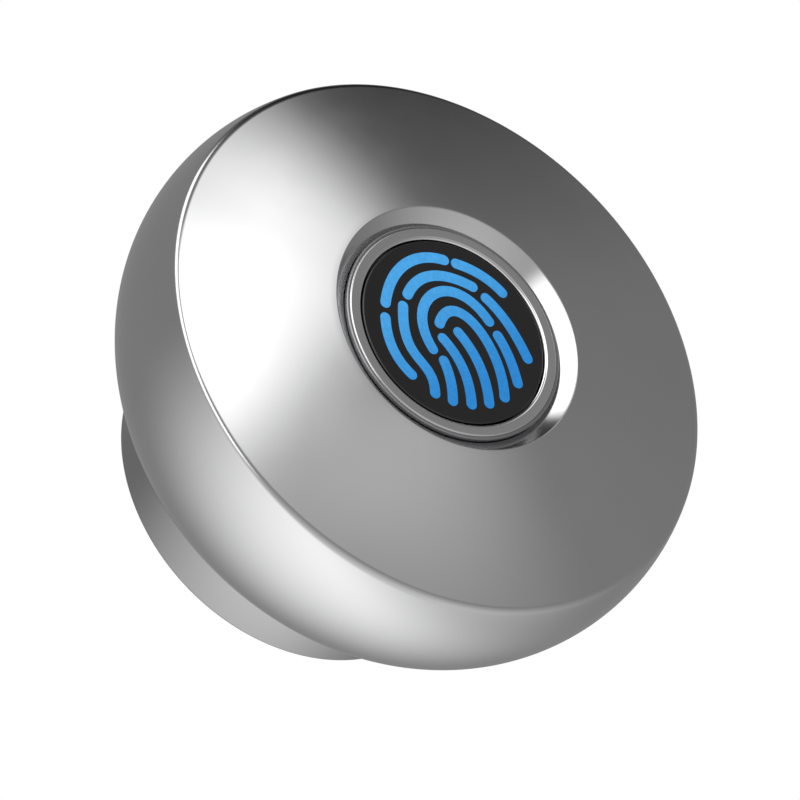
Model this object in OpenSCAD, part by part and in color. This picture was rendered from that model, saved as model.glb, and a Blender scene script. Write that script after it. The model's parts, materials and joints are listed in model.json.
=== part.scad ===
// Turn knob with a fingerprint sensor in its front face.
// Y = 0 is the back face that lies on the door or drawer front. The knob stands out along -Y and +Z is up.
// Every sub-part is drawn along its own +Z, as height above the back face, and place() turns it into the frame.

/* [Knob body] */
// Largest diameter of the knob
knob_d = 48; // [47:0.5:50]
// Height of the front face's inner edge above the back face
knob_h = 26.5; // [26.5:0.1:27]
// Fall of the conical front face
face_slope = 13.6; // [12:0.2:15]
// Height of the widest point of the side band
belly_z = 18.75; // [18:0.25:19.25]
// Radius of the curved side band, seen in section
band_r = 13.7; // [13:0.1:15]
// Rounding between the front face and the side band
rim_round = 0.8; // [0.4:0.1:1.2]
// Wall thickness of the knob body
wall = 1.8; // [1.5:0.1:2]

/* [Finger recess and sensor] */
// Diameter of the finger recess's edge
recess_d = 21.3; // [21:0.1:22]
// Diameter of the sensor window
window_d = 16; // [15.6:0.1:16]
// Width of a ridge line in the fingerprint symbol
ridge_w = 0.88; // [0.6:0.02:1]

/* [Neck and spindle] */
// Diameter of the fixed neck
neck_d = 30.4; // [29:0.2:30.6]
// Distance between the two fixing screws
fixing_spacing = 22; // [20:0.5:22]
// Radius of a tapped M4 hole
fixing_r = 1.65; // [1.5:0.05:1.7]
// Side of the square spindle socket
socket_side = 7.1; // [6:0.1:7.1]
// Turn of the knob each way from rest
turn_angle = 90; // [60:5:90]

/* [Hidden] */
$fn = 96;

over = 1;                       // how far a cutting solid runs past the face it cuts
knob_r = knob_d / 2;
recess_r = recess_d / 2;
neck_r = neck_d / 2;
window_r = window_d / 2;

// Heights above the back face, from the wall outwards
neck_h = 6.6;
washer_top = 6.9;
cover_bottom = 7.1;
cover_top = 8.2;
shell_bottom = 8.4;
post_h = 9.7;
head_bottom = 9.9;
clutch_z = 10.9;
head_top = 12.7;
frame_top = 12.9;
holder_bottom = 13.1;
cell_bottom = 13.8;
cell_top = 18.8;
board_bottom = 19.2;
board_top = 20.2;
retainer_bottom = 21.5;
sensor_board_bottom = 22.4;
sensor_board_top = 23.2;
shelf_z = 24;
gasket_z = 24.3;
flange_z = 24.6;
window_z = 25;
wall_foot_z = 25.4;               // foot of the finger recess's sloping wall
window_top = 25.8;

// Radii
post_r = 8;
hub_r = 5.6;
head_r = 7.6;
running_gap = 0.05;
pin_r = 1;
pin_ring_r = 12;
bush_r = 9.4;
bezel_r = 9.4;
pocket_r = 9;
boss_ring_r = 12.4;
screw_r = 0.8;
screw_hole_r = 0.85;
cover_screw_ring = 16.45;
cover_head_r = 1.25;
cover_head_h = 0.5;
board_screw_ring = 15.6;
retainer_screw_ring = 11.1;
small_screw_r = 0.5;
small_hole_r = 0.6;
cell_r = 12.25;
holder_r = 13.7;
board_r = 17.3;

cover_screw_angles = [30, 150, 270];
board_screw_angles = [90, 210, 330];
led_angles = [45, 135, 225, 315];
rear_taper = 46;                // inward slope of the band behind its round part

// The side band in section: an arc about (band_c, belly_z), then a straight taper to the back
band_c = knob_r - band_r;

function on_arc(centre, r, a) = centre + r * [cos(a), sin(a)];
function arc(centre, r, a0, a1, n) = [for (i = [0:n]) on_arc(centre, r, a0 + (a1 - a0) * i / n)];
function face_z(r) = knob_h - (r - recess_r) * tan(face_slope);

// Arc angle where a band of radius r meets the front face lowered by drop
function meet(r, drop) =
    asin((knob_h - drop / cos(face_slope) - belly_z + (recess_r - band_c) * tan(face_slope))
         * cos(face_slope) / r) - face_slope;

// Radius of the tapered rear of a band of radius r, at height z
function taper_r(r, z) = band_c + (r - (belly_z - z) * sin(rear_taper)) / cos(rear_taper);

// A smooth cubic curve through four control points
function curve(p, n) = [for (i = [0:n]) let (t = i / n, u = 1 - t)
    u * u * u * p[0] + 3 * u * u * t * p[1] + 3 * u * t * t * p[2] + t * t * t * p[3]];

// Direction of a path at point i, and the unit vector to its left
function along(p, i) = p[min(i + 1, len(p) - 1)] - p[max(i - 1, 0)];
function left(p, i) = let (d = along(p, i)) [-d[1], d[0]] / norm(d);
function heading(d) = atan2(d[1], d[0]);

module place() {
    rotate([90, 0, 0]) children();
}

module ring(outer, inner, z0, z1) {
    translate([0, 0, z0]) difference() {
        cylinder(r = outer, h = z1 - z0);
        translate([0, 0, -over]) cylinder(r = inner, h = z1 - z0 + 2 * over);
    }
}

module disc(r, z0, z1) {
    translate([0, 0, z0]) cylinder(r = r, h = z1 - z0);
}

// A block with its lower corner at a and its upper corner at b
module block(a, b) {
    translate(a) cube(b - a);
}

// Copies around the knob's axis
module around(angles, r) {
    for (a = angles) rotate([0, 0, a]) translate([r, 0, 0]) children();
}

// A strip of width w along a path, with round or square ends
module strip(p, w, rounded) {
    last = len(p) - 1;
    h0 = heading(along(p, 0));
    h1 = heading(along(p, last));
    start_cap = rounded ? arc(p[0], w / 2, h0 + 120, h0 + 240, 4) : [];
    end_cap = rounded ? arc(p[last], w / 2, h1 - 60, h1 + 60, 4) : [];
    polygon(concat(start_cap,
                   [for (i = [0:last]) p[i] - left(p, i) * w / 2],
                   end_cap,
                   [for (i = [0:last]) p[last - i] + left(p, last - i) * w / 2]));
}

// A countersunk screw, pointing up, its head's face at z = 0
module countersunk_screw(length) {
    difference() {
        union() {
            cylinder(r1 = cover_head_r, r2 = screw_r, h = cover_head_h);
            cylinder(r = screw_r, h = length);
        }
        for (a = [0, 90]) rotate([0, 0, a]) block([-0.75, -0.13, -over], [0.75, 0.13, 0.35]);
    }
}

// A pan-head screw, pointing up, its head's underside at z = 0
module pan_screw(r, length) {
    head_h = 1.3 * r;
    difference() {
        union() {
            translate([0, 0, -head_h]) cylinder(r = 1.85 * r, h = head_h);
            cylinder(r = r, h = length);
        }
        for (a = [0, 90]) rotate([0, 0, a])
            block([-1.1 * r, -0.18 * r, -head_h - over], [1.1 * r, 0.18 * r, -head_h / 2]);
    }
}

// ---- Fixed neck -------------------------------------------------------------------------------

groove_r = 7.2;
clip_bottom = 8.8;
clip_top = 9.4;
gasket_outer = 14.3;
gasket_inner = 12.9;
gasket_t = 0.8;
pin_bottom = 3;

module neck_base() {
    bore_r = hub_r + running_gap;
    edge = 0.4;
    color("silver") place() difference() {
        rotate_extrude() polygon([
            [bore_r, 0], [neck_r - edge, 0], [neck_r, edge], [neck_r, neck_h - edge],
            [neck_r - edge, neck_h], [post_r, neck_h], [post_r, clip_bottom], [groove_r, clip_bottom],
            [groove_r, clip_top], [post_r, clip_top], [post_r, post_h], [bore_r, post_h]]);
        ring(gasket_outer, gasket_inner, -over, gasket_t);
        for (s = [-1, 1]) translate([s * fixing_spacing / 2, 0, -over]) cylinder(r = fixing_r, h = 5 + over);
        translate([0, -pin_ring_r, pin_bottom]) cylinder(r = pin_r, h = neck_h);
    }
}

module back_gasket() {
    color("dimgray") place() ring(gasket_outer, gasket_inner, 0, gasket_t);
}

module thrust_washer() {
    color("ivory") place() ring(10.4, 8.2, neck_h, washer_top);
}

module retaining_ring() {
    gap = 70;
    color("gray") place() translate([0, 0, clip_bottom])
        rotate([0, 0, -90 + gap / 2])
            rotate_extrude(angle = 360 - gap) translate([groove_r + running_gap, 0])
                square([2.1, clip_top - clip_bottom]);
}

module stop_pin() {
    color("gray") place() translate([0, -pin_ring_r, 0]) disc(pin_r, pin_bottom, 7.9);
}

// ---- Drive hub: takes the square spindle, and the clutch plunger holds it to the knob ----------

socket_top = 12;
tip_half_w = 1.3;
tip_in = 6.3;

module drive_hub() {
    slot_gap = 0.15;
    color("goldenrod") place() difference() {
        union() {
            disc(hub_r, 0.5, head_bottom);
            disc(head_r, head_bottom, head_top);
        }
        linear_extrude(socket_top) square(socket_side, center = true);
        block([-tip_half_w - slot_gap, tip_in - 0.3, head_bottom - over],
              [tip_half_w + slot_gap, head_r + over, head_top + over]);
    }
}

// ---- Turning knob body ------------------------------------------------------------------------

// Section through the body between the axis and the outside, less the sensor's stepped bore
module shell_section() {
    outer_end = meet(band_r - rim_round, rim_round);
    inner_end = meet(band_r - wall, wall);
    centre = [band_c, belly_z];
    rim_centre = on_arc(centre, band_r - rim_round, outer_end);
    inner = band_r - wall;
    inner_face = wall / cos(face_slope);
    difference() {
        polygon(concat(
            [[taper_r(band_r, shell_bottom), shell_bottom]],
            arc(centre, band_r, -rear_taper, outer_end, 16),
            arc(rim_centre, rim_round, outer_end + 8, 90 - face_slope, 5),
            [[recess_r, knob_h], [bezel_r + running_gap, wall_foot_z], [bezel_r + running_gap, shelf_z],
             [pocket_r, shelf_z], [pocket_r, shell_bottom]]));
        polygon(concat(
            [[pocket_r - over, shell_bottom - over], [taper_r(inner, shell_bottom - over), shell_bottom - over]],
            arc(centre, inner, -rear_taper, inner_end, 12),
            [[boss_ring_r, face_z(boss_ring_r) - inner_face],
             [boss_ring_r, sensor_board_bottom], [pocket_r - over, sensor_board_bottom]]));
    }
}

module knob_shell() {
    boss_bottom = shell_bottom + 0.2;
    boss_top = 14.4;
    rib_bottom = boss_bottom + 0.4;
    rib_top = boss_top - 0.4;
    rib_t = 1.2;
    color("silver") place() difference() {
        union() {
            rotate_extrude() shell_section();
            around(cover_screw_angles, cover_screw_ring) disc(1.5, boss_bottom, boss_top);
            for (a = cover_screw_angles) rotate([90, 0, a]) translate([0, 0, -rib_t / 2])
                linear_extrude(rib_t) polygon([
                    [cover_screw_ring, rib_bottom], [19.2, rib_bottom],
                    [21.2, 12.4], [21.6, rib_top], [cover_screw_ring, rib_top]]);
            around(board_screw_angles, board_screw_ring) disc(1.8, board_top, 24);
        }
        around(cover_screw_angles, cover_screw_ring) disc(screw_hole_r, boss_bottom - over, 13.4);
        around(board_screw_angles, board_screw_ring) disc(screw_hole_r, board_top - over, 23.2);
        around(board_screw_angles, retainer_screw_ring) disc(small_hole_r, sensor_board_bottom - over, 24.6);
    }
}

module rear_cover() {
    edge_r = taper_r(band_r, cover_top);
    round_r = 0.4;
    slot_half_w = pin_r + 0.15;
    slot_spare = 6;
    color("silver") place() difference() {
        rotate_extrude() polygon(concat(
            [[bush_r, cover_bottom]],
            arc([taper_r(band_r, cover_bottom + round_r) - round_r / cos(rear_taper), cover_bottom + round_r],
                round_r, -90, -rear_taper, 6),
            [[edge_r, cover_top], [bush_r, cover_top]]));
        translate([0, 0, cover_bottom - over])
            rotate([0, 0, -90 - turn_angle - slot_spare])
                rotate_extrude(angle = 2 * (turn_angle + slot_spare))
                    translate([pin_ring_r - slot_half_w, 0]) square([2 * slot_half_w, 2 + 2 * over]);
        around(cover_screw_angles, cover_screw_ring) {
            disc(screw_hole_r, cover_bottom - over, cover_top + over);
            translate([0, 0, cover_bottom]) cylinder(r1 = cover_head_r + running_gap, r2 = screw_hole_r, h = cover_head_h);
        }
    }
}

module cover_seal() {
    color("dimgray") place() ring(taper_r(band_r, shell_bottom) - 0.3, 17.6, cover_top, shell_bottom);
}

module cover_screws() {
    color("gray") place() around(cover_screw_angles, cover_screw_ring)
        translate([0, 0, cover_bottom]) countersunk_screw(6);
}

module bearing_bush() {
    color("peru") place() ring(bush_r, post_r + running_gap, washer_top + 0.1, cover_top + 0.2);
}

// ---- Sensor in the finger recess --------------------------------------------------------------

bezel_bore_r = 8.75;
flange_r = 8.6;

module sensor_bezel() {
    lip_r = window_r + 0.1;
    crest = 25.87;
    color("gainsboro") place() rotate_extrude() polygon([
        [bezel_bore_r, shelf_z], [bezel_r, shelf_z], [bezel_r, wall_foot_z - 0.05], [9.25, 25.65],
        [8.95, crest - 0.05], [8.7, crest], [8.4, crest - 0.05], [lip_r, 25.65], [lip_r, window_z],
        [bezel_bore_r, window_z]]);
}

module sensor_window() {
    color("black") place() union() {
        disc(flange_r, flange_z, window_z);
        disc(window_r, window_z, window_top);
    }
}

// Ridge lines of a made-up fingerprint: loops about the centre that run out towards the lower right.
// Each is a cubic curve, as [start, pull at the start, pull at the end, end] in millimetres.
ridges = [
    [[-6.5, 0.8], [-6.1, 4.4], [-3.9, 6.5], [-1.2, 6.5]],
    [[-0.1, 6.5], [1.5, 6.5], [3.0, 6.0], [4.1, 5.1]],
    [[-6.5, -0.6], [-6.4, -2.6], [-5.6, -4.2], [-4.1, -5.2]],
    [[-4.5, 2.2], [-3.4, 5.2], [-0.6, 5.3], [1.4, 4.8]],
    [[2.6, 4.1], [4.2, 3.1], [5.4, 1.5], [6.4, -0.4]],
    [[-4.9, 1.0], [-5.1, -4.4], [-2.1, -3.0], [-2.0, -6.3]],
    [[-2.2, -2.2], [-5.2, 1.8], [-0.7, 6.3], [2.9, 2.0]],
    [[3.7, 0.9], [4.6, -0.3], [5.1, -1.5], [5.5, -3.0]],
    [[-1.6, 0.4], [-0.5, 4.4], [4.1, 0.3], [4.3, -4.7]],
    [[-1.3, -0.9], [0.4, -2.3], [1.2, -4.2], [1.3, -6.3]],
    [[0.1, 0.1], [1.8, -1.4], [2.7, -3.4], [2.9, -5.7]],
    [[-1.2, -3.0], [-0.7, -4.0], [-0.4, -5.1], [-0.4, -6.5]]];

module fingerprint_icon() {
    ink = 0.06;
    color("dodgerblue") place() translate([0, 0, window_top])
        for (r = ridges) linear_extrude(ink) strip(curve(r, 12), ridge_w, true);
}

module window_gasket() {
    color("dimgray") place() ring(flange_r, 7.3, gasket_z, flange_z);
}

module light_guide() {
    color("lightblue") place() ring(7.1, 4.9, 23.9, flange_z);
}

module sensor_spacer() {
    color("dimgray") place() ring(flange_r, 7.4, sensor_board_top, gasket_z);
}

module sensor_chip() {
    half = 3.2;
    color("darkslategray") place() block([-half, -half, sensor_board_top], [half, half, 24.5]);
}

module sensor_leds() {
    color("white") place() around(led_angles, 6)
        block([-0.4, -0.8, sensor_board_top], [0.4, 0.8, 23.8]);
}

module sensor_board() {
    color("darkgreen") place() disc(flange_r, sensor_board_bottom, sensor_board_top);
}

module sensor_retainer() {
    color("gray") place() difference() {
        ring(boss_ring_r, 6, retainer_bottom, sensor_board_bottom);
        around(board_screw_angles, retainer_screw_ring)
            disc(small_hole_r, retainer_bottom - over, sensor_board_bottom + over);
    }
}

module retainer_screws() {
    color("gray") place() around(board_screw_angles, retainer_screw_ring)
        translate([0, 0, retainer_bottom]) pan_screw(small_screw_r, 2.6);
}

// Flat cable from the connector on the main board up to the sensor board, 5 mm wide
module sensor_cable() {
    route = curve([[-1.8, 20.7], [3.5, 20.7], [3, 21.4], [3, 22.38]], 12);
    color("orange") place() rotate([90, 0, 90]) translate([0, 0, -2.5])
        linear_extrude(5) strip(route, 0.25, false);
}

// ---- Electronics and battery ------------------------------------------------------------------

module main_board() {
    color("darkgreen") place() difference() {
        disc(board_r, board_bottom, board_top);
        around(board_screw_angles, board_screw_ring) disc(screw_hole_r + 0.1, board_bottom - over, board_top + over);
    }
}

module board_chips() {
    color("darkslategray") place() {
        block([-8, 3.2, board_top], [-2, 9.2, 21]);
        block([-2, -11.5, board_top], [2.5, -8, 21]);
        block([9.5, -2, board_top], [12.5, 1, 21.2]);
        for (i = [0:5]) block([3 + 1.6 * i, 6, board_top], [3.8 + 1.6 * i, 7.4, 20.7]);
        for (i = [0:3]) block([-14.5, -1 + 1.6 * i, board_top], [-13.1, -0.2 + 1.6 * i, 20.7]);
    }
}

module board_connector() {
    color("ivory") place() block([-3.3, -4.6, board_top], [3.3, -1.8, 21.2]);
}

module board_screws() {
    color("gray") place() around(board_screw_angles, board_screw_ring)
        translate([0, 0, board_bottom]) pan_screw(screw_r, 3.6);
}

module buzzer() {
    color("black") place() translate([-16.2, 0, 0]) {
        ring(2, 0.5, 16.6, 17.2);
        disc(2, 17.2, board_bottom);
    }
}

module battery_cell() {
    color("lightsteelblue") place() union() {
        disc(10.8, cell_bottom, 14.3);
        disc(cell_r, 14.3, cell_top);
    }
}

module battery_holder() {
    floor_top = 13.6;
    color("dimgray") place() difference() {
        disc(holder_r, holder_bottom, board_bottom);
        disc(cell_r + 0.2, floor_top, board_bottom + over);
    }
}

module battery_contacts() {
    color("gold") place() {
        block([-2, -9, 13.6], [2, 9, cell_bottom]);
        block([-2, -9, cell_top], [2, 9, board_bottom]);
    }
}

// ---- Solenoid clutch --------------------------------------------------------------------------

frame_in = 11.6;
frame_out = 16;
plate_t = 0.5;
rod_r = 0.8;
tip_back = 7.9;

// Lays a solid that is drawn along +Z outwards along the clutch's axis
module outward(y) {
    translate([0, y, clutch_z]) rotate([-90, 0, 0]) children();
}

module solenoid_frame() {
    half_w = 3.2;
    color("gray") place() difference() {
        union() {
            block([-half_w, frame_in, cover_top], [half_w, frame_out, cover_top + plate_t]);
            block([-half_w, frame_in, cover_top], [half_w, frame_in + plate_t, frame_top]);
            block([-half_w, frame_out - plate_t, cover_top], [half_w, frame_out, frame_top]);
        }
        outward(frame_in - over) cylinder(r = rod_r + 0.15, h = 10);
    }
}

module solenoid_coil() {
    length = frame_out - frame_in - 2 * plate_t;
    color("chocolate") place() outward(frame_in + plate_t) difference() {
        cylinder(r = 1.95, h = length);
        translate([0, 0, -over]) cylinder(r = rod_r + 0.15, h = length + 2 * over);
    }
}

module solenoid_leads() {
    color("red") place() for (s = [-1, 1])
        translate([s * 2.6, frame_out - plate_t / 2, 0]) disc(0.25, frame_top, board_bottom);
}

module clutch_plunger() {
    color("lightgray") place() union() {
        block([-tip_half_w, tip_in, 10.1], [tip_half_w, tip_back, 11.7]);
        outward(tip_back - 0.2) cylinder(r = rod_r, h = 8.1);
    }
}

// Compression spring between the plunger's tip and the solenoid frame: a swept wire
module plunger_spring() {
    wire_r = 0.15;
    coil_r = 1.15;
    turns = 4;
    steps = 20;
    sides = 8;
    gap = 0.02;
    length = frame_in - tip_back - 2 * (wire_r + gap);
    count = turns * steps;
    rings = [for (i = [0:count]) let (a = 360 * i / steps, z = length * i / count)
        for (k = [0:sides - 1]) let (b = 360 * k / sides, r = coil_r + wire_r * cos(b))
            [r * cos(a), r * sin(a), z + wire_r * sin(b)]];
    walls = [for (i = [0:count - 1], k = [0:sides - 1]) let (n = (k + 1) % sides)
        [i * sides + k, i * sides + n, (i + 1) * sides + n, (i + 1) * sides + k]];
    first = [for (k = [0:sides - 1]) sides - 1 - k];
    last = [for (k = [0:sides - 1]) count * sides + k];
    color("silver") place() outward(tip_back + wire_r + gap)
        polyhedron(points = rings, faces = concat(walls, [first, last]), convexity = 8);
}

neck_base();
back_gasket();
thrust_washer();
retaining_ring();
stop_pin();
drive_hub();
knob_shell();
rear_cover();
cover_seal();
cover_screws();
bearing_bush();
sensor_bezel();
sensor_window();
fingerprint_icon();
window_gasket();
light_guide();
sensor_spacer();
sensor_chip();
sensor_leds();
sensor_board();
sensor_retainer();
retainer_screws();
sensor_cable();
main_board();
board_chips();
board_connector();
board_screws();
buzzer();
battery_cell();
battery_holder();
battery_contacts();
solenoid_frame();
solenoid_coil();
solenoid_leads();
clutch_plunger();
plunger_spring();
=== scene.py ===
"""A fingerprint turn knob: satin metal body on a fixed neck, with a lit sensor in a finger recess."""

import json
from math import acos, asin, atan2, cos, degrees, pi, radians, sin, tan

import bmesh
import bpy
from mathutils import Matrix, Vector


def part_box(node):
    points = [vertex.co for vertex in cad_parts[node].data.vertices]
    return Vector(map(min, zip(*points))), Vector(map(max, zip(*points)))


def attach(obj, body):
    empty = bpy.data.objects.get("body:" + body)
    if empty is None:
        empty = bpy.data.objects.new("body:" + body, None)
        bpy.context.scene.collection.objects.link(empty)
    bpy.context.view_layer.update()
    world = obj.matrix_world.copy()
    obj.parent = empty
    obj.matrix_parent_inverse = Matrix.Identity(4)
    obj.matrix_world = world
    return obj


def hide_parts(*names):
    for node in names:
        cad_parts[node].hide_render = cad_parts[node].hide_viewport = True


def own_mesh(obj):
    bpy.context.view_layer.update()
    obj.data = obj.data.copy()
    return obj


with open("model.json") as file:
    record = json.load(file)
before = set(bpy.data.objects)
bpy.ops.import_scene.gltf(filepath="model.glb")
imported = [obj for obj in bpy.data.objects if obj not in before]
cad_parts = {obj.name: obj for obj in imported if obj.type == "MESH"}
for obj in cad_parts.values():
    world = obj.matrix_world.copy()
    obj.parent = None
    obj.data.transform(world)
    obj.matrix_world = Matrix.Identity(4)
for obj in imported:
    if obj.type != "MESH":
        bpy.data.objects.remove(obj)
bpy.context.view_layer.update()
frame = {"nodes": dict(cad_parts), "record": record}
for plain in list(bpy.data.materials):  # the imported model's own flat colours
    bpy.data.materials.remove(plain)

MM = 0.001
CLEARANCE = 0.05  # room round a piece that sits in another, in millimetres
CUT = 1  # how far a cutting tool stands out of what it cuts, in millimetres
AROUND = 256  # segments in a full turn of a lathed piece
SHARP = 28  # edges that turn by more degrees than this stay sharp
WELD = 0.0005  # points closer than this become one after a cut, in millimetres


# ---- Places and sizes from the frame, in millimetres above the back face (which is y = 0) ------------------


def span(node):
    """Lowest and highest height of a CAD node above the back face, and its largest radius, in millimetres."""
    lo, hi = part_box(node)
    return -hi.y / MM, -lo.y / MM, max(hi.x, hi.z, -lo.x, -lo.z) / MM


shell_bottom, knob_h, knob_r = span("knob_shell")
cover_bottom, cover_top, _ = span("rear_cover")
_, neck_top, neck_r = span("neck_base")
neck_h, _, _ = span("thrust_washer")  # the washer lies on the neck's shoulder
bezel_bottom, bezel_top, bezel_r = span("sensor_bezel")
flange_bottom, window_top, flange_r = span("sensor_window")
flange_top = 25.0  # step between the window's flange and its disc
_, icon_top, _ = span("fingerprint_icon")
hub_bottom, hub_top, hub_head_r = span("drive_hub")
_, _, seal_r = span("cover_seal")
_, gasket_top, _ = span("back_gasket")

# Shape of the knob body
FACE_SLOPE = 13.6
FACE_CROWN_R = 140  # the face is very slightly domed between its two edges
RECESS_R = 10.65
BELLY_Z = 18.75
BAND_R = 13.7
RIM_ROUND = 0.8
WALL_FOOT_Z = 25.4  # foot of the finger recess's sloping wall
REAR_TAPER = 46
WALL = 1.8
band_c = knob_r - BAND_R


# ---- Outlines ----------------------------------------------------------------------------------------------


def arc(centre, r, a0, a1, n):
    """Points on an arc, its angles in degrees."""
    angles = [radians(a0 + (a1 - a0) * i / n) for i in range(n + 1)]
    return [(centre[0] + r * cos(a), centre[1] + r * sin(a)) for a in angles]


def fillet(points, radii, n=6):
    """A closed outline with its corners rounded. radii holds one radius a corner, 0 where it stays sharp."""
    out = []
    count = len(points)
    for i, (p, r) in enumerate(zip(points, radii)):
        if r <= 0:
            out.append(p)
            continue
        corner = Vector(p)
        a = (Vector(points[i - 1]) - corner).normalized()
        b = (Vector(points[(i + 1) % count]) - corner).normalized()
        half = acos(max(-1.0, min(1.0, a.dot(b)))) / 2
        reach = r / tan(half)
        centre = corner + (a + b).normalized() * (r / sin(half))
        start = corner + a * reach - centre
        end = corner + b * reach - centre
        a0 = atan2(start.y, start.x)
        turn = atan2(end.y, end.x) - a0
        turn = (turn + pi) % (2 * pi) - pi
        for k in range(n + 1):
            t = a0 + turn * k / n
            out.append((centre.x + r * cos(t), centre.y + r * sin(t)))
    return out


def face_z(r):
    """Height of the front face at radius r."""
    return knob_h - (r - RECESS_R) * tan(radians(FACE_SLOPE))


def meet(r, drop):
    """Arc angle at which a band of radius r meets the front face lowered by drop."""
    s = radians(FACE_SLOPE)
    rise = knob_h - drop / cos(s) - BELLY_Z + (RECESS_R - band_c) * tan(s)
    return degrees(asin(rise * cos(s) / r) - s)


def taper_r(r, z):
    """Radius of the tapered rear of a band of radius r, at height z."""
    t = radians(REAR_TAPER)
    return band_c + (r - (BELLY_Z - z) * sin(t)) / cos(t)


def bezier(p, n):
    """Points along a cubic curve through four control points."""
    out = []
    for i in range(n + 1):
        t = i / n
        u = 1 - t
        w = (u * u * u, 3 * u * u * t, 3 * u * t * t, t * t * t)
        out.append((sum(k * q[0] for k, q in zip(w, p)), sum(k * q[1] for k, q in zip(w, p))))
    return out


# ---- Meshes ------------------------------------------------------------------------------------------------


def place(x, y, h):
    """A point from the knob's front view (x right, y up, h above the back face), in metres."""
    return Vector((x * MM, -h * MM, y * MM))


def write_smooth(bm, mesh):
    """Moves the faces into the mesh, smooth except at sharp edges."""
    bm.to_mesh(mesh)
    bm.free()
    for p in mesh.polygons:
        p.use_smooth = True
    mesh.set_sharp_from_angle(angle=radians(SHARP))


def new_object(name, bm):
    """A new object in the scene made of the faces in bm."""
    bmesh.ops.recalc_face_normals(bm, faces=bm.faces)
    mesh = bpy.data.meshes.new(name)
    write_smooth(bm, mesh)
    obj = bpy.data.objects.new(name, mesh)
    bpy.context.scene.collection.objects.link(obj)
    return obj


def turned(bm, outline, around=AROUND, at=(0, 0), put=place):
    """Adds a closed outline of (radius, height), turned about the axis through at. put places its points."""
    rings = []
    for r, h in outline:
        if r < 1e-6:
            rings.append([bm.verts.new(put(*at, h))])
            continue
        turn = [2 * pi * k / around for k in range(around)]
        rings.append([bm.verts.new(put(at[0] + r * cos(t), at[1] + r * sin(t), h)) for t in turn])
    for i, ring in enumerate(rings):
        other = rings[(i + 1) % len(rings)]
        if len(ring) == 1 and len(other) == 1:
            continue
        for k in range(around):
            n = (k + 1) % around
            if len(ring) == 1:
                bm.faces.new((ring[0], other[k], other[n]))
            elif len(other) == 1:
                bm.faces.new((ring[k], other[0], ring[n]))
            else:
                bm.faces.new((ring[k], other[k], other[n], ring[n]))


def lathe(name, outline, around=AROUND, at=(0, 0), put=place):
    """A new object from one closed outline of (radius, height), as in turned."""
    bm = bmesh.new()
    turned(bm, outline, around, at, put)
    return new_object(name, bm)


def skin(bm, low, high):
    """Adds the faces of a solid between two matching rings of points."""
    a = [bm.verts.new(point) for point in low]
    b = [bm.verts.new(point) for point in high]
    bm.faces.new(a)
    bm.faces.new(b)
    for i in range(len(a)):
        n = (i + 1) % len(a)
        bm.faces.new((a[i], a[n], b[n], b[i]))


def extruded(bm, outline, h0, h1):
    """Adds a solid with a flat outline of (x, y) points between two heights."""
    skin(bm, [place(x, y, h0) for x, y in outline], [place(x, y, h1) for x, y in outline])


def prism(name, outline, h0, h1):
    """A new object from a flat outline of (x, y) points between two heights."""
    bm = bmesh.new()
    extruded(bm, outline, h0, h1)
    return new_object(name, bm)


def combine(obj, tool, operation):
    """Joins the tool's solid to obj (UNION) or takes it out of obj (DIFFERENCE), and removes the tool."""
    mod = obj.modifiers.new(operation, "BOOLEAN")
    mod.operation = operation
    mod.solver = "EXACT"
    mod.object = tool
    mesh = bpy.data.meshes.new_from_object(obj.evaluated_get(bpy.context.evaluated_depsgraph_get()))
    obj.modifiers.clear()
    obj.data = mesh
    bpy.data.objects.remove(tool)
    bm = bmesh.new()
    bm.from_mesh(mesh)
    bmesh.ops.remove_doubles(bm, verts=bm.verts, dist=WELD * MM)
    write_smooth(bm, mesh)


def box_outline(x0, y0, x1, y1, corner=0.0):
    """A rectangle between two opposite corners, with its corners rounded if corner isn't 0."""
    corners = [(x0, y0), (x1, y0), (x1, y1), (x0, y1)]
    return fillet(corners, [corner] * 4)


def polar(r, a):
    """The point at radius r and angle a, in degrees."""
    return r * cos(radians(a)), r * sin(radians(a))


def turn_about(x, y, a):
    """The point (x, y) turned by a degrees about (0, 0)."""
    c, s = cos(radians(a)), sin(radians(a))
    return x * c - y * s, x * s + y * c


# ---- Materials ---------------------------------------------------------------------------------------------

BUMP_H = 0.02 * MM  # height of the finest surface texture


class Nodes:
    """Short ways to add shader nodes to one tree."""

    def __init__(self, tree):
        self.tree = tree
        tree.nodes.clear()

    def add(self, kind, **settings):
        node = self.tree.nodes.new(kind)
        for key, value in settings.items():
            setattr(node, key, value)
        return node

    def join(self, source, target):
        """Links an output socket to an input socket."""
        self.tree.links.new(source, target)

    def feed(self, node, index, value):
        """Joins a socket to an input, or sets the input to a plain value."""
        if isinstance(value, bpy.types.NodeSocket):
            self.join(value, node.inputs[index])
        else:
            node.inputs[index].default_value = value

    def math(self, operation, *values):
        node = self.add("ShaderNodeMath", operation=operation)
        for i, value in enumerate(values):
            self.feed(node, i, value)
        return node.outputs[0]

    def vector(self, operation, *values):
        node = self.add("ShaderNodeVectorMath", operation=operation)
        for i, value in enumerate(values):
            self.feed(node, i, value)
        return node.outputs["Value" if operation in ("DOT_PRODUCT", "LENGTH") else "Vector"]

    def ramp(self, value, low, high, out_low=0.0, out_high=1.0):
        """Smooth step from out_low to out_high as value goes from low to high."""
        node = self.add("ShaderNodeMapRange", interpolation_type="SMOOTHSTEP")
        for i, v in enumerate((value, low, high, out_low, out_high)):
            self.feed(node, i, v)
        return node.outputs[0]

    def noise(self, vector, scale, detail=2.0, roughness=0.5):
        """Noise of about 0.3 to 0.7 at the given places."""
        node = self.add("ShaderNodeTexNoise")
        self.join(vector, node.inputs["Vector"])
        node.inputs["Scale"].default_value = scale
        node.inputs["Detail"].default_value = detail
        node.inputs["Roughness"].default_value = roughness
        return node.outputs["Fac"]


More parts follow.
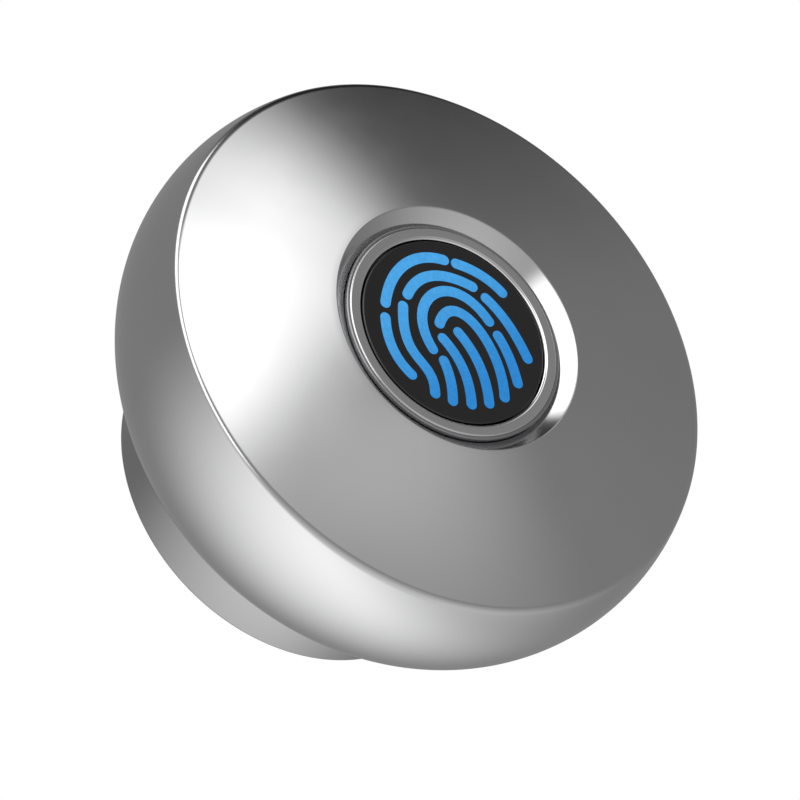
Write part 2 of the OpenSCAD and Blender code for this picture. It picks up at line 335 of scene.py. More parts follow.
def material(name):
    """A new material: its nodes, its Principled shader and the object's own coordinates."""
    mat = bpy.data.materials.new(name)
    mat.use_nodes = True
    n = Nodes(mat.node_tree)
    shader = n.add("ShaderNodeBsdfPrincipled")
    out = n.add("ShaderNodeOutputMaterial")
    n.join(shader.outputs[0], out.inputs[0])
    coords = n.add("ShaderNodeTexCoord").outputs["Object"]
    return mat, n, shader, coords


def mixed_colour(n, factor, a, b):
    """The colour between a and b at that factor."""
    node = n.add("ShaderNodeMix", data_type="RGBA")
    n.join(factor, node.inputs[0])
    node.inputs[6].default_value = (*a, 1)
    node.inputs[7].default_value = (*b, 1)
    return node.outputs[2]


def add_bump(n, shader, height, strength):
    """Roughens the surface a little, by height times BUMP_H."""
    bump = n.add("ShaderNodeBump")
    bump.inputs["Strength"].default_value = strength
    bump.inputs["Distance"].default_value = BUMP_H
    n.join(height, bump.inputs["Height"])
    n.join(bump.outputs[0], shader.inputs["Normal"])


def spun_metal(name, dark, light, rough, spread=0.03, lines=0.05, grain=0.05):
    """Metal turned on a lathe: fine rings about the knob's axis, fine grain and faint handling marks."""
    mat, n, shader, coords = material(name)
    split = n.add("ShaderNodeSeparateXYZ")
    n.join(coords, split.inputs[0])
    square_x = n.math("POWER", split.outputs[0], 2.0)
    square_z = n.math("POWER", split.outputs[2], 2.0)
    across = n.math("SQRT", n.math("ADD", square_x, square_z))
    section = n.add("ShaderNodeCombineXYZ")  # distance from the axis, and distance along it
    n.join(across, section.inputs[0])
    n.join(split.outputs[1], section.inputs[1])
    rings = n.noise(section.outputs[0], 9000.0, 3.0, 0.6)
    fine = n.noise(coords, 7000.0, 2.0)
    marks = n.noise(coords, 90.0, 4.0, 0.6)
    n.join(mixed_colour(n, marks, dark, light), shader.inputs["Base Color"])
    n.join(n.ramp(marks, 0.3, 0.7, rough - spread, rough + spread), shader.inputs["Roughness"])
    shader.inputs["Metallic"].default_value = 1.0
    height = n.math("ADD", n.math("MULTIPLY", rings, lines), n.math("MULTIPLY", fine, grain))
    add_bump(n, shader, height, 0.15)
    return mat


def plastic(name, dark, light, rough, scale=3000.0, bump_by=0.1, coat=0.0):
    """Moulded plastic or rubber with a fine texture and slight shade changes."""
    mat, n, shader, coords = material(name)
    fine = n.noise(coords, scale, 3.0)
    broad = n.noise(coords, 150.0, 2.0)
    n.join(mixed_colour(n, broad, dark, light), shader.inputs["Base Color"])
    n.join(n.ramp(fine, 0.3, 0.7, rough * 0.9, rough * 1.1), shader.inputs["Roughness"])
    shader.inputs["Coat Weight"].default_value = coat
    add_bump(n, shader, fine, bump_by)
    return mat


def lit_symbol(name):
    """Translucent ink with blue light behind it; its paling towards the upper left is a painted reflection.
    """
    mat, n, shader, coords = material(name)
    # painted reflection: the blue turns paler towards the upper left
    slant = n.vector("DOT_PRODUCT", coords, (0.7, 0.0, -0.7))
    reflection_tint = n.ramp(slant, -6 * MM, 6 * MM)
    colour = mixed_colour(n, reflection_tint, (0.055, 0.335, 0.700), (0.009, 0.195, 0.540))
    speck = n.noise(coords, 4000.0, 2.0)
    n.join(colour, shader.inputs["Emission Color"])
    n.join(n.ramp(speck, 0.3, 0.7, 0.92, 1.06), shader.inputs["Emission Strength"])
    shader.inputs["Base Color"].default_value = (0.01, 0.05, 0.12, 1)
    n.join(n.ramp(speck, 0.2, 0.8, 0.18, 0.26), shader.inputs["Roughness"])
    return mat


body_metal = spun_metal("body_metal", (0.60, 0.60, 0.605), (0.66, 0.66, 0.665), 0.16)
# The neck's metal is darker than the body's: painted shade, for the knob's shadow over the neck.
neck_metal = spun_metal("neck_metal", (0.40, 0.40, 0.405), (0.46, 0.46, 0.465), 0.24)
bezel_metal = spun_metal("bezel_metal", (0.74, 0.74, 0.745), (0.80, 0.80, 0.805), 0.10, 0.02, 0.02, 0.02)
screw_steel = spun_metal("screw_steel", (0.42, 0.42, 0.43), (0.52, 0.52, 0.53), 0.30)
spring_steel = spun_metal("spring_steel", (0.34, 0.34, 0.35), (0.45, 0.45, 0.46), 0.28)
cell_steel = spun_metal("cell_steel", (0.62, 0.62, 0.63), (0.72, 0.72, 0.73), 0.22)
brass = spun_metal("brass", (0.62, 0.42, 0.16), (0.75, 0.55, 0.24), 0.28)
bronze = spun_metal("bronze", (0.38, 0.21, 0.09), (0.50, 0.30, 0.14), 0.45, 0.05, 0.02, 0.2)
gold_contact = spun_metal("gold_contact", (0.80, 0.55, 0.18), (0.88, 0.66, 0.28), 0.22)
coil_copper = spun_metal("coil_copper", (0.42, 0.14, 0.04), (0.58, 0.22, 0.07), 0.25)
window_glass = plastic(
    "window_glass", (0.0035, 0.0030, 0.0026), (0.006, 0.005, 0.0045), 0.06, 5000.0, 0.02, 0.6
)
lit_ink = lit_symbol("lit_ink")
rubber = plastic("rubber", (0.012, 0.012, 0.012), (0.024, 0.024, 0.024), 0.75, 4000.0, 0.3)
nylon = plastic("nylon", (0.72, 0.69, 0.60), (0.80, 0.78, 0.70), 0.45)
clear_plastic = plastic("clear_plastic", (0.62, 0.76, 0.86), (0.70, 0.84, 0.92), 0.12)
black_plastic = plastic("black_plastic", (0.018, 0.018, 0.019), (0.030, 0.030, 0.032), 0.5)
chip_black = plastic("chip_black", (0.014, 0.014, 0.016), (0.026, 0.026, 0.028), 0.45)
led_lens = plastic("led_lens", (0.80, 0.80, 0.74), (0.88, 0.88, 0.82), 0.15)
board_green = plastic("board_green", (0.010, 0.085, 0.030), (0.016, 0.120, 0.045), 0.25, 1500.0, 0.1, 0.3)
connector_ivory = plastic("connector_ivory", (0.70, 0.66, 0.54), (0.78, 0.75, 0.64), 0.4)
flex_amber = plastic("flex_amber", (0.42, 0.16, 0.02), (0.52, 0.22, 0.03), 0.25)
lead_red = plastic("lead_red", (0.42, 0.02, 0.015), (0.52, 0.03, 0.02), 0.4)

MATERIALS = {
    m.name: m
    for m in (
        body_metal, neck_metal, bezel_metal, screw_steel, spring_steel, cell_steel, brass, bronze,
        gold_contact, coil_copper, window_glass, lit_ink, rubber, nylon, clear_plastic, black_plastic,
        chip_black, led_lens, board_green, connector_ivory, flex_amber, lead_red,
    )
}

# Each CAD node gets its sub-part's material, for the nodes that no piece stands for
for part in frame["record"]["subparts"]:
    node = frame["nodes"][part["node"]]
    node.data.materials.clear()
    node.data.materials.append(MATERIALS[part["material_slot"]])


def finished(obj, body, slot, *nodes):
    """Gives a piece its body, its material and the CAD nodes that it stands for."""
    obj.data.materials.clear()
    obj.data.materials.append(MATERIALS[slot])
    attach(obj, body)
    if nodes:
        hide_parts(*nodes)
    return obj


# ---- Knob body and sensor ----------------------------------------------------------------------------------

SCREW_ANGLES = (30, 150, 270)
COVER_SCREW_RING = 16.45
COVER_HEAD_R = 1.25
COVER_HEAD_H = 0.5
SCREW_R = 0.8
SCREW_LENGTH = 6
HOLE_R = SCREW_R + CLEARANCE
BOSS_R = 1.5
SENSOR_RING_R = 12.4  # outer radius of the thick ring that holds the sensor
SENSOR_RING_BOTTOM = 22.4
SENSOR_BORE_R = 9.0
RIB_HALF_T = 0.6


def crowned_face(outer, inner):
    """The slightly domed front face in section, from its outer end to its inner edge."""
    a, b = Vector(outer), Vector(inner)
    chord = b - a
    half = asin(chord.length / 2 / FACE_CROWN_R)
    middle = (a + b) / 2
    across = Vector((-chord.y, chord.x)).normalized()
    if across.y > 0:
        across.negate()
    centre = middle + across * FACE_CROWN_R * cos(half)
    a0 = degrees(atan2(a.y - centre.y, a.x - centre.x))
    a1 = degrees(atan2(b.y - centre.y, b.x - centre.x))
    return arc(centre, FACE_CROWN_R, a0, a1, 24)


def knob_body():
    """The hollow metal shell: front face, side band, finger recess and screw bosses with their ribs."""
    inner = BAND_R - WALL
    outer_end = meet(BAND_R - RIM_ROUND, RIM_ROUND)
    inner_end = meet(inner, WALL)
    centre = (band_c, BELLY_Z)
    rim_x, rim_y = polar(BAND_R - RIM_ROUND, outer_end)
    rim_centre = (band_c + rim_x, BELLY_Z + rim_y)
    rim = arc(rim_centre, RIM_ROUND, outer_end, 90 - FACE_SLOPE, 12)
    seat_r = bezel_r + CLEARANCE
    edge_r = 0.14
    lip = fillet([rim[-1], (RECESS_R, knob_h), (seat_r, WALL_FOOT_Z)], [0, edge_r, 0])[1:-1]
    foot = [(taper_r(inner, shell_bottom), shell_bottom), (taper_r(BAND_R, shell_bottom), shell_bottom),
            (taper_r(BAND_R, shell_bottom + 1), shell_bottom + 1)]  # the last only gives the direction
    outline = (
        [foot[0]]
        + fillet(foot, [0, 0.12, 0])[1:-1]
        + arc(centre, BAND_R, -REAR_TAPER, outer_end, 48)
        + rim[1:]
        + crowned_face(rim[-1], lip[0])[1:]
        + lip[1:]
        + [(seat_r, WALL_FOOT_Z), (seat_r, bezel_bottom), (SENSOR_BORE_R, bezel_bottom),
           (SENSOR_BORE_R, SENSOR_RING_BOTTOM), (SENSOR_RING_R, SENSOR_RING_BOTTOM),
           (SENSOR_RING_R, face_z(SENSOR_RING_R) - WALL / cos(radians(FACE_SLOPE)))]
        + arc(centre, inner, inner_end, -REAR_TAPER, 24)
    )
    body = lathe("knob_body", outline)
    boss_low, boss_high, hole_high = shell_bottom + 0.2, 14.4, 13.4
    tube = [(HOLE_R, boss_low), (BOSS_R, boss_low), (BOSS_R, boss_high), (0, boss_high), (0, hole_high),
            (HOLE_R, hole_high)]
    hole = [(0, boss_low - CUT), (HOLE_R, boss_low - CUT), (HOLE_R, hole_high), (0, hole_high)]
    rib = [(COVER_SCREW_RING, boss_low + 0.4), (19.2, boss_low + 0.4), (21.2, 12.4), (21.6, boss_high - 0.4),
           (COVER_SCREW_RING, boss_high - 0.4)]
    for a in SCREW_ANGLES:
        at = polar(COVER_SCREW_RING, a)
        combine(body, lathe("boss", tube, 32, at), "UNION")
        bm = bmesh.new()
        skin(bm, *([place(*turn_about(r, side, a), h) for r, h in rib] for side in (-RIB_HALF_T, RIB_HALF_T)))
        combine(body, new_object("rib", bm), "UNION")
        combine(body, lathe("hole", hole, 32, at), "DIFFERENCE")
    return finished(body, "knob", "body_metal", "knob_shell")


# Size of the dark collar round the bezel, which is painted shade at the foot of the recess
COLLAR_IN, COLLAR_BOTTOM, COLLAR_TOP = 9.15, 25.2, 25.8


def sensor_bezel():
    """The bright ring round the window."""
    bore_r = 8.75
    lip_r = 8.1
    outline = fillet(
        [(bore_r, bezel_bottom), (bezel_r, bezel_bottom), (bezel_r, COLLAR_BOTTOM),
         (COLLAR_IN, COLLAR_BOTTOM), (COLLAR_IN, bezel_top), (lip_r, bezel_top), (lip_r, flange_top),
         (bore_r, flange_top)],
        [0, 0, 0, 0, 0.15, 0.3, 0, 0], 12)
    return finished(lathe("bezel_ring", outline), "knob", "bezel_metal", "sensor_bezel")


def bezel_shade_collar():
    """A darker steel collar round the bright ring: a dark piece put where the foot of the recess lies in
    shade, painted shade.
    """
    outline = fillet(
        [(COLLAR_IN, COLLAR_BOTTOM), (bezel_r, COLLAR_BOTTOM), (bezel_r, COLLAR_TOP),
         (COLLAR_IN, COLLAR_TOP)],
        [0, 0, 0.12, 0])
    return finished(lathe("bezel_shade_collar", outline), "knob", "spring_steel")


def sensor_window():
    """The black glass: a disc on a wider flange, with an extra ring of points across its face."""
    window_r, ring_r = 8.0, 5.0
    rounded = fillet([(window_r, flange_top), (window_r, window_top), (0, window_top)], [0, 0.12, 0])[1:-1]
    outline = [(0, flange_bottom), (flange_r, flange_bottom), (flange_r, flange_top), (window_r, flange_top)]
    outline += rounded + [(ring_r, window_top), (0, window_top)]
    return finished(lathe("window_disc", outline), "knob", "window_glass", "sensor_window")


# Ridge lines of a made-up fingerprint, each a cubic curve: start, pull at the start, pull at the end, end
RIDGES = [
    [(-6.01, 0.78), (-5.62, 4.29), (-3.47, 6.34), (-0.84, 6.34)],
    [(0.23, 6.34), (1.79, 6.34), (3.25, 5.85), (4.33, 4.97)],
    [(-6.01, -0.58), (-5.91, -2.54), (-5.13, -4.09), (-3.67, -5.07)],
    [(-4.06, 2.15), (-2.98, 5.07), (-0.25, 5.17), (1.70, 4.68)],
    [(2.87, 4.00), (4.42, 3.02), (5.60, 1.46), (6.57, -0.39)],
    [(-4.45, 0.97), (-4.64, -4.29), (-1.72, -2.92), (-1.62, -6.14)],
    [(-1.81, -2.15), (-4.74, 1.75), (-0.35, 6.14), (3.16, 1.95)],
    [(3.94, 0.88), (4.81, -0.29), (5.30, -1.46), (5.69, -2.92)],
    [(-1.23, 0.39), (-0.16, 4.29), (4.33, 0.29), (4.52, -4.58)],
    [(-0.94, -0.88), (0.72, -2.24), (1.50, -4.09), (1.60, -6.14)],
    [(0.43, 0.10), (2.08, -1.36), (2.96, -3.31), (3.16, -5.56)],
    [(-0.84, -2.92), (-0.35, -3.90), (-0.06, -4.97), (-0.06, -6.34)],
]
RIDGE_W = 0.88


def ridge_outline(path, width):
    """The outline of a line of that width with round ends."""
    half = width / 2
    headings = []
    last = len(path) - 1
    for i in range(last + 1):
        a, b = path[max(i - 1, 0)], path[min(i + 1, last)]
        headings.append(atan2(b[1] - a[1], b[0] - a[0]))
    right = [(p[0] + half * sin(t), p[1] - half * cos(t)) for p, t in zip(path, headings)]
    left = [(p[0] - half * sin(t), p[1] + half * cos(t)) for p, t in zip(path, headings)]
    end = arc(path[-1], half, degrees(headings[-1]) - 90, degrees(headings[-1]) + 90, 10)[1:-1]
    start = arc(path[0], half, degrees(headings[0]) + 90, degrees(headings[0]) + 270, 10)[1:-1]
    return right + end + left[::-1] + start


def fingerprint_lines():
    """The lit symbol's lines, raised a little from the glass."""
    bm = bmesh.new()
    for control in RIDGES:
        extruded(bm, ridge_outline(bezier(control, 28), RIDGE_W), window_top, icon_top)
    obj = new_object("fingerprint_lines", bm)
    obj.visible_glossy = False  # the metal round it shows no blue
    return finished(obj, "knob", "lit_ink", "fingerprint_icon")


# ---- Back of the knob and the neck -------------------------------------------------------------------------

PIN_RING_R = 12.0
PIN_R = 1.0
SLOT_CLEARANCE = 0.15
SLOT_REACH = 96  # degrees that the slot runs each way from straight down
FIXING_X = 11.0
GROOVE_IN, GROOVE_OUT = 12.9, 14.3


def rear_plate():
    """The ring that closes the knob's back, with the stop pin's slot and countersunk screw holes."""
    bush_r = 9.4
    round_r = 0.4
    taper = radians(REAR_TAPER)
    edge_c = (taper_r(BAND_R, cover_bottom + round_r) - round_r / cos(taper), cover_bottom + round_r)
    rim = fillet(
        [(taper_r(BAND_R, cover_top - 0.6), cover_top - 0.6), (taper_r(BAND_R, cover_top), cover_top),
         (bush_r, cover_top)],
        [0, 0.1, 0])[1:-1]
    edge = arc(edge_c, round_r, -90, -REAR_TAPER, 8)
    outline = [(bush_r, cover_bottom)] + edge + rim + [(bush_r, cover_top)]
    plate = lathe("rear_plate", outline)
    half = PIN_R + SLOT_CLEARANCE
    turn = (-90 - SLOT_REACH, -90 + SLOT_REACH)
    slot = arc((0, 0), PIN_RING_R + half, *turn, 48) + arc((0, 0), PIN_RING_R - half, *turn[::-1], 48)
    combine(plate, prism("slot", slot, cover_bottom - CUT, cover_top + CUT), "DIFFERENCE")
    head_r = COVER_HEAD_R + CLEARANCE
    sink = [(0, cover_bottom - CUT), (head_r, cover_bottom - CUT), (head_r, cover_bottom),
            (HOLE_R, cover_bottom + COVER_HEAD_H), (HOLE_R, cover_top + CUT), (0, cover_top + CUT)]
    for a in SCREW_ANGLES:
        combine(plate, lathe("sink", sink, 48, polar(COVER_SCREW_RING, a)), "DIFFERENCE")
    return finished(plate, "knob", "body_metal", "rear_cover")


def seam_seal():
    """The rubber ring in the seam between the shell and the rear plate."""
    inner_r, low, high, edge = 17.6, cover_top, shell_bottom, 0.05
    outline = fillet([(inner_r, low), (seal_r, low), (seal_r, high), (inner_r, high)], [0, edge, edge, 0])
    return finished(lathe("seam_seal", outline), "knob", "rubber", "cover_seal")


def thread(r, depth, pitch, h0, h1):
    """Outline of a thread's ridges up a shank: pairs of root and crest radii."""
    out = []
    h = h0
    while h + pitch < h1:
        out += [(r - depth, h), (r, h + pitch / 2)]
        h += pitch
    return out + [(r - depth, h)]


def cover_screw_set():
    """Three countersunk screws with cross recesses."""
    bm = bmesh.new()
    head_top = cover_bottom + COVER_HEAD_H
    tip = cover_bottom + SCREW_LENGTH
    thread_depth, pitch, bevel = 0.14, 0.36, 0.06
    thread_low, thread_high, tip_r = head_top + 0.2, tip - 0.3, SCREW_R * 0.6
    recess_reach, recess_half_w, recess_depth = 0.75, 0.13, 0.35
    for a in SCREW_ANGLES:
        outline = [(0, cover_bottom), (COVER_HEAD_R - bevel, cover_bottom)]
        outline += [(COVER_HEAD_R, cover_bottom + bevel), (SCREW_R, head_top)]
        outline += thread(SCREW_R, thread_depth, pitch, thread_low, thread_high)
        outline += [(tip_r, tip), (0, tip)]
        turned(bm, outline, 48, polar(COVER_SCREW_RING, a))
    screws = new_object("cover_screw_set", bm)
    for a in SCREW_ANGLES:
        x, y = polar(COVER_SCREW_RING, a)
        for w, t in ((recess_reach, recess_half_w), (recess_half_w, recess_reach)):
            bar = box_outline(x - w, y - t, x + w, y + t)
            combine(screws, prism("bar", bar, cover_bottom - CUT, cover_bottom + recess_depth), "DIFFERENCE")
    return finished(screws, "knob", "screw_steel", "cover_screws")


def neck():
    """The fixed neck: a flange with the gasket's groove, tapped holes and the post that the knob turns on."""
    bore_r = 5.65
    groove_r, post_r, groove_low, groove_high = 7.2, 8.0, 8.8, 9.4
    outline = fillet(
        [(bore_r, 0), (GROOVE_IN, 0), (GROOVE_IN, gasket_top), (GROOVE_OUT, gasket_top), (GROOVE_OUT, 0),
         (neck_r, 0), (neck_r, neck_h), (post_r, neck_h), (post_r, groove_low), (groove_r, groove_low),
         (groove_r, groove_high), (post_r, groove_high), (post_r, neck_top), (bore_r, neck_top)],
        [0.25, 0.08, 0, 0, 0.08, 0.3, 0.3, 0, 0, 0, 0, 0, 0.2, 0.2])
    body = lathe("neck_body", outline)
    # M4 holes with countersunk mouths
    tap_r, pitch, thread_depth, tap_depth, drill_tip = 2.0, 0.7, 0.35, 5.0, 0.6
    mouth_r, cone_r, cone_depth = 2.25, 1.95, 0.3
    tap = [(0, -CUT), (mouth_r, -CUT), (mouth_r, 0), (cone_r, cone_depth)]
    tap += thread(tap_r, thread_depth, pitch, cone_depth + 0.05, tap_depth)
    tap += [(tap_r - thread_depth, tap_depth), (0, tap_depth + drill_tip)]
    for s in (-1, 1):
        combine(body, lathe("tap", tap, 48, (s * FIXING_X, 0)), "DIFFERENCE")
    pin_low = 3
    pin_hole = [(0, pin_low), (PIN_R, pin_low), (PIN_R, neck_h + CUT), (0, neck_h + CUT)]
    combine(body, lathe("pin_hole", pin_hole, 32, (0, -PIN_RING_R)), "DIFFERENCE")
    return finished(body, "neck", "neck_metal", "neck_base")


def gasket_ring():
    """A moulded ring with a shallow groove in the face that seals on the door."""
    middle, half_w, depth = (GROOVE_IN + GROOVE_OUT) / 2, 0.25, 0.2
    outline = fillet(
        [(GROOVE_IN, 0), (middle - half_w, 0), (middle, depth), (middle + half_w, 0), (GROOVE_OUT, 0),
         (GROOVE_OUT, gasket_top), (GROOVE_IN, gasket_top)],
        [0.15, 0.08, 0.08, 0.08, 0.15, 0, 0])
    return finished(lathe("gasket_ring", outline), "neck", "rubber", "back_gasket")


def spindle_hub():
    """The drive hub: a flanged sleeve with a square socket and a notch for the clutch."""
    body_r, head_low, socket_top = 5.6, 9.9, 12.0
    half, socket_corner, chamfer = 3.55, 0.35, 0.35
    outline = fillet(
        [(0, hub_bottom), (body_r, hub_bottom), (body_r, head_low), (hub_head_r, head_low),
         (hub_head_r, hub_top), (0, hub_top)],
        [0, 0.3, 0.1, 0.2, 0.3, 0], 4)
    hub = lathe("spindle_hub", outline)
    square = box_outline(-half, -half, half, half, socket_corner)
    combine(hub, prism("socket", square, hub_bottom - CUT, socket_top), "DIFFERENCE")
    # a slanting edge round the socket's mouth, its cutting tool run on past both ends of the slant
    bm = bmesh.new()
    mouth = ((half + chamfer + 0.5, hub_bottom - 0.5), (half - 0.05, hub_bottom + chamfer + 0.05))
    skin(bm, *([place(x, y, h) for x, y in box_outline(-w, -w, w, w)] for w, h in mouth))
    combine(hub, new_object("mouth", bm), "DIFFERENCE")
    notch_half_w, notch_foot = 1.45, 6.0
    notch = box_outline(-notch_half_w, notch_foot, notch_half_w, hub_head_r + CUT)
    combine(hub, prism("notch", notch, head_low - 0.5, hub_top + CUT), "DIFFERENCE")
    return finished(hub, "hub", "brass", "drive_hub")


# ---- Clutch and boards -------------------------------------------------------------------------------------

spring_lo, spring_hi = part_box("plunger_spring")
coil_lo, coil_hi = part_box("solenoid_coil")
CLUTCH_H = -(spring_lo[1] + spring_hi[1]) / 2 / MM


def clutch_place(across, forward, up):
    """A point about the plunger's axis, which runs up the front view."""
    return place(across, up, CLUTCH_H + forward)


def spring():
    """Round wire wound round the plunger's rod, with its end turns closed up."""
    wire_r, coil_r, turns, steps, sides = 0.15, 1.15, 5.5, 32, 10
    low, high = spring_lo[2] / MM + wire_r, spring_hi[2] / MM - wire_r
    count = int(turns * steps)
    bm = bmesh.new()
    rings = []
    for i in range(count + 1):
        share = i / count
        up = low + (high - low) * (share - 0.6 * sin(2 * pi * share) / (2 * pi))
        turn = 2 * pi * i / steps
        ring = []
        for k in range(sides):
            b = 2 * pi * k / sides
            r = coil_r + wire_r * cos(b)
            ring.append(bm.verts.new(clutch_place(r * cos(turn), r * sin(turn), up + wire_r * sin(b))))
        rings.append(ring)
    for a, b in zip(rings, rings[1:]):
        for k in range(sides):
            n = (k + 1) % sides
            bm.faces.new((a[k], a[n], b[n], b[k]))
    bm.faces.new(rings[0])
    bm.faces.new(rings[-1])
    obj = finished(new_object("spring_wire", bm), "knob", "spring_steel", "plunger_spring")
    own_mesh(obj)


def coil():
    """A moulded bobbin with rows of enamelled wire round it."""
    low, high, bore_r = coil_lo[2] / MM, coil_hi[2] / MM, 0.95
    flange_t, core_r, outer_r = 0.3, 1.2, 1.95
    bobbin = fillet(
        [(bore_r, low), (outer_r, low), (outer_r, low + flange_t), (core_r, low + flange_t),
         (core_r, high - flange_t), (outer_r, high - flange_t), (outer_r, high), (bore_r, high)],
        [0, 0.08, 0.08, 0, 0, 0.08, 0.08, 0], 4)
    finished(lathe("coil_bobbin", bobbin, 64, put=clutch_place), "knob", "black_plastic")
    rows = 11
    start, end = low + flange_t, high - flange_t
    wire = (end - start) / rows
    winding = [(core_r, start)]
    for i in range(rows):
        middle = start + (i + 0.5) * wire
        winding += arc((outer_r - 0.05 - wire / 2, middle), wire / 2, -80, 80, 6)
    winding.append((core_r, end))
    finished(lathe("coil_winding", winding, 64, put=clutch_place), "knob", "coil_copper", "solenoid_coil")


CHIP_LOW, CHIP_HIGH = (-8.0, 3.2), (-2.0, 9.2)
CHIP_BASE, CHIP_TOP = -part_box("main_board")[0][1] / MM, 21.0


def chip_legs():
    """Bent leads along the four sides of the main chip, soldered to the board."""
    per_side, width, thick = 7, 0.3, 0.12
    side_h = (CHIP_BASE + CHIP_TOP) / 2
    shape = [(-0.1, side_h), (0.3, side_h), (0.45, CHIP_BASE + thick), (0.9, CHIP_BASE + thick),
             (0.9, CHIP_BASE), (0.36, CHIP_BASE), (0.22, side_h - thick), (-0.1, side_h - thick)]
    shape = fillet(shape, [0, 0.08, 0.08, 0, 0, 0.08, 0.08, 0], 3)
    mid = [(CHIP_LOW[i] + CHIP_HIGH[i]) / 2 for i in (0, 1)]
    half = [(CHIP_HIGH[i] - CHIP_LOW[i]) / 2 for i in (0, 1)]
    bm = bmesh.new()
    for side in range(4):
        reach, span_half = half[side % 2], half[1 - side % 2]
        for i in range(per_side):
            along = (i + 0.5 - per_side / 2) * 2 * (span_half - 0.2) / per_side
            ends = []
            for edge in (along - width / 2, along + width / 2):
                flat = [(*turn_about(reach + out, edge, 90 * side), h) for out, h in shape]
                ends.append([place(mid[0] + x, mid[1] + y, h) for x, y, h in flat])
            skin(bm, *ends)
    return finished(new_object("chip_legs", bm), "knob", "screw_steel")


knob_body()
sensor_bezel()
bezel_shade_collar()
sensor_window()
fingerprint_lines()
rear_plate()
seam_seal()
cover_screw_set()
neck()
gasket_ring()
spindle_hub()
spring()
coil()
chip_legs()


# ---- Camera ------------------------------------------------------------------------------------------------

CAMERA_AZIMUTH = -29.3  # as in direction below
CAMERA_ELEVATION = -32.7
CAMERA_DISTANCE = 1.8
FIELD_WIDTH = 61.68 * MM  # width of what the camera sees, at the knob
SENSOR = 36.0
FRONT_RIGHT, FRONT_UP = 4.45 * MM, 5.57 * MM  # where the front face's middle lies from the picture's middle


def direction(azimuth, elevation):
    """Unit vector from the knob. Azimuth 0 is in front of it, along -Y, and 90 is along +X."""
    a, e = radians(azimuth), radians(elevation)
    return Vector((sin(a) * cos(e), -cos(a) * cos(e), sin(e)))


def camera():
    """The photo's view of the knob."""
    data = bpy.data.cameras.new("camera")
    data.sensor_width = SENSOR
    data.lens = SENSOR * CAMERA_DISTANCE / FIELD_WIDTH
    cam = bpy.data.objects.new("camera", data)
    bpy.context.scene.collection.objects.link(cam)
    back = direction(CAMERA_AZIMUTH, CAMERA_ELEVATION)
    turn = (-back).to_track_quat("-Z", "Y")
    right, up = turn @ Vector((1, 0, 0)), turn @ Vector((0, 1, 0))
    target = place(0, 0, knob_h) - right * FRONT_RIGHT - up * FRONT_UP
    cam.location = target + back * CAMERA_DISTANCE
    cam.rotation_mode = "QUATERNION"
    cam.rotation_quaternion = turn
    data.clip_start, data.clip_end = 0.01, 10.0
    bpy.context.scene.camera = cam


camera()


# ---- Studio ------------------------------------------------------------------------------------------------

# Panels laid over the light: strength, azimuth, elevation, half sizes, edge widths and tilt, in degrees
PANELS = [
    (0.65, 16, 11, (14.5, 8), (13, 7.3), 0),  # a grey screen low in front
    (0.23, 35, 65, (33, 33), (21, 21), 0),  # a dim stretch of ceiling
    (0.016, 72, 79.5, (24, 24), (18, 18), 0),  # a dark one
    (2.0, -1.4, 30, (5.4, 25), (11.6, 12.4), -22),  # three white softboxes
    (2.0, -11, 26, (13.3, 12.4), (3.5, 6.6), 0),
    (2.0, -50, 25, (11.5, 49), (3, 16), 14),
]


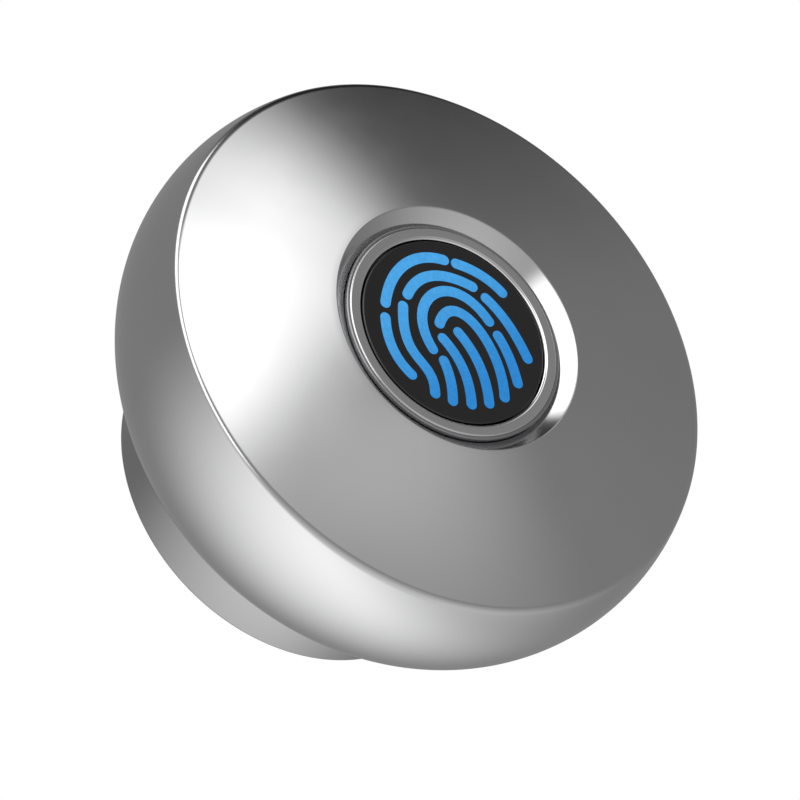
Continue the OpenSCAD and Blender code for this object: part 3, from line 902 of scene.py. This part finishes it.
def studio():
    """A white world to the camera. The object sees soft light from all round, with PANELS laid over it."""
    world = bpy.data.worlds.new("studio")
    bpy.context.scene.world = world
    world.use_nodes = True
    n = Nodes(world.node_tree)
    way = n.vector("NORMALIZE", n.add("ShaderNodeTexCoord").outputs["Generated"])
    split = n.add("ShaderNodeSeparateXYZ")
    n.join(way, split.inputs[0])
    up = split.outputs[2]

    def lay(under, level, azimuth, elevation, half, soft, roll):
        """Lays one soft-edged panel over the light. Its values are those of a row of PANELS."""
        middle = direction(azimuth, elevation)
        side = Vector((0, 0, 1)).cross(middle).normalized()
        top = middle.cross(side)
        c, s = cos(radians(roll)), sin(radians(roll))
        side, top = side * c + top * s, top * c - side * s
        depth = n.vector("DOT_PRODUCT", way, tuple(middle))
        seen = n.math("GREATER_THAN", depth, 0.02)
        for axis, size, blur in ((side, half[0], soft[0]), (top, half[1], soft[1])):
            value = n.math("DIVIDE", n.math("ABSOLUTE", n.vector("DOT_PRODUCT", way, tuple(axis))), depth)
            edge, width = tan(radians(size)), tan(radians(blur))
            seen = n.math("MULTIPLY", seen, n.ramp(value, edge - width, edge + width, 1.0, 0.0))
        return n.math("MULTIPLY_ADD", seen, n.math("SUBTRACT", level, under), under)

    # Light from a pale floor, brighter behind the knob and to its left than in front of it
    behind = n.ramp(n.vector("DOT_PRODUCT", way, tuple(direction(-138, 0))), -0.2, 0.44)
    front_light = n.ramp(up, -2.8, 0.22, 1.92, 0.27)
    back_light = n.ramp(up, -1.4, 0.32, 1.77, 0.28)
    light = n.math("MULTIPLY_ADD", behind, n.math("SUBTRACT", back_light, front_light), front_light)
    for panel in PANELS:
        light = lay(light, *panel)
    background = n.add("ShaderNodeBackground")
    n.join(light, background.inputs["Strength"])
    white = n.add("ShaderNodeBackground")
    mix = n.add("ShaderNodeMixShader")
    n.join(n.add("ShaderNodeLightPath").outputs["Is Camera Ray"], mix.inputs[0])
    n.join(background.outputs[0], mix.inputs[1])
    n.join(white.outputs[0], mix.inputs[2])
    n.join(mix.outputs[0], n.add("ShaderNodeOutputWorld").inputs[0])
    for sky in (background, white):
        sky.inputs["Color"].default_value = (1, 1, 1, 1)


FLOOR_DROP = 1.1  # metres below the knob's axis
FLOOR_SIDES = 96
FLOOR_R = 1.5
FLOOR_GLOW = 0.42  # stands for the light that the studio's walls throw on it


def floor():
    """A plain pale disc far below the knob. The metal mirrors the studio's own light instead of it."""
    bm = bmesh.new()
    corners = arc((0, 0), FLOOR_R, 0, 360, FLOOR_SIDES)[:-1]
    rim = [bm.verts.new((x, y, -FLOOR_DROP)) for x, y in corners]
    bm.faces.new(rim)
    disc = new_object("floor", bm)
    paint = plastic("floor_paint", (0.78, 0.78, 0.77), (0.82, 0.82, 0.81), 0.7, 40.0, 0.02)
    shader = next(node for node in paint.node_tree.nodes if node.type == "BSDF_PRINCIPLED")
    shader.inputs["Emission Color"].default_value = (1, 1, 0.99, 1)
    shader.inputs["Emission Strength"].default_value = FLOOR_GLOW
    disc.data.materials.append(paint)
    disc.visible_glossy = False


studio()
floor()
bpy.context.scene.view_settings.view_transform = "Standard"
